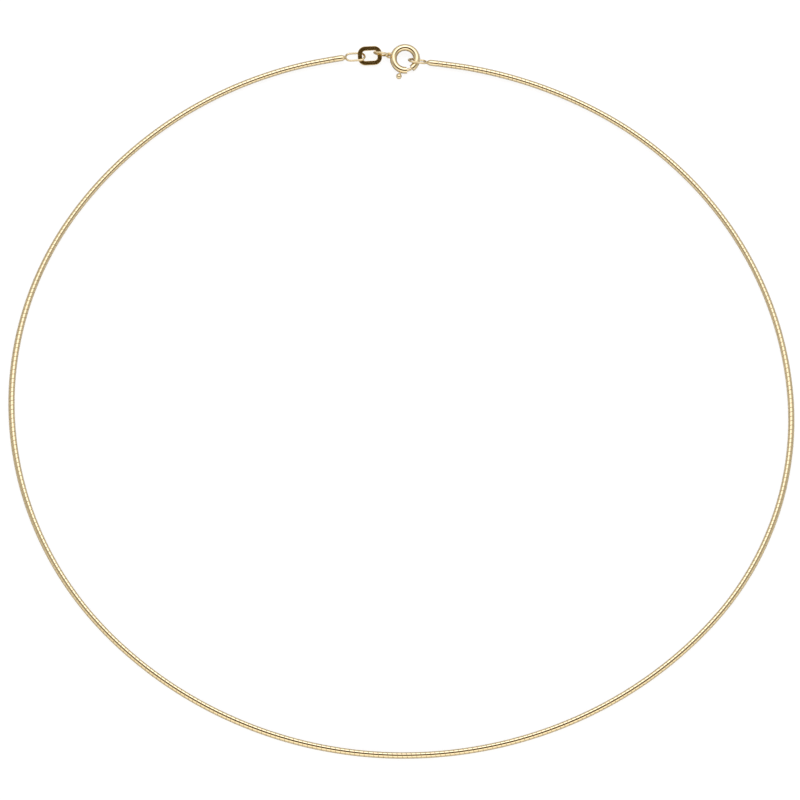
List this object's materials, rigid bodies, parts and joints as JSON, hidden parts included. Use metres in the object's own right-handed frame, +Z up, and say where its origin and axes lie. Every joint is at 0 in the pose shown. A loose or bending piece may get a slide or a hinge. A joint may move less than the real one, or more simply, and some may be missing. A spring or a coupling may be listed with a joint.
{
  "type": "neck ring",
  "caption": "Round neck ring of thin wound gold strip, lying flat and fastened, its ends joined at the back by end loops, a flat link, a jump ring and a spring ring clasp.",
  "frame": {"origin": "under the middle of the whole ring, on the surface it lies on", "axes": "+Z up from the surface, +Y towards the clasp at the back of the neck, +X to the right seen from above with the clasp at the top"},
  "size_m": [0.1391, 0.1324, 0.0031],
  "materials": {
    "collar_gold": "polished",
    "clasp_gold": "polished"
  },
  "bodies": {
    "root": {"collar": "collar_gold", "right_end_loop": "clasp_gold", "left_end_loop": "clasp_gold", "flat_link": "clasp_gold", "jump_ring": "clasp_gold", "spring_ring": "clasp_gold"},
    "latch": {"latch": "clasp_gold"}
  },
  "joints": [
    {"name": "latch_slide", "type": "hinge", "parent": "root", "child": "latch", "pos_m": [0.00081, 0.06346, 0.00109], "axis": [0, 0.1736, -0.9848], "range_deg": [0, 36], "stiffness_Nm_per_rad": 0.003, "springref_deg": -20.05}
  ]
}
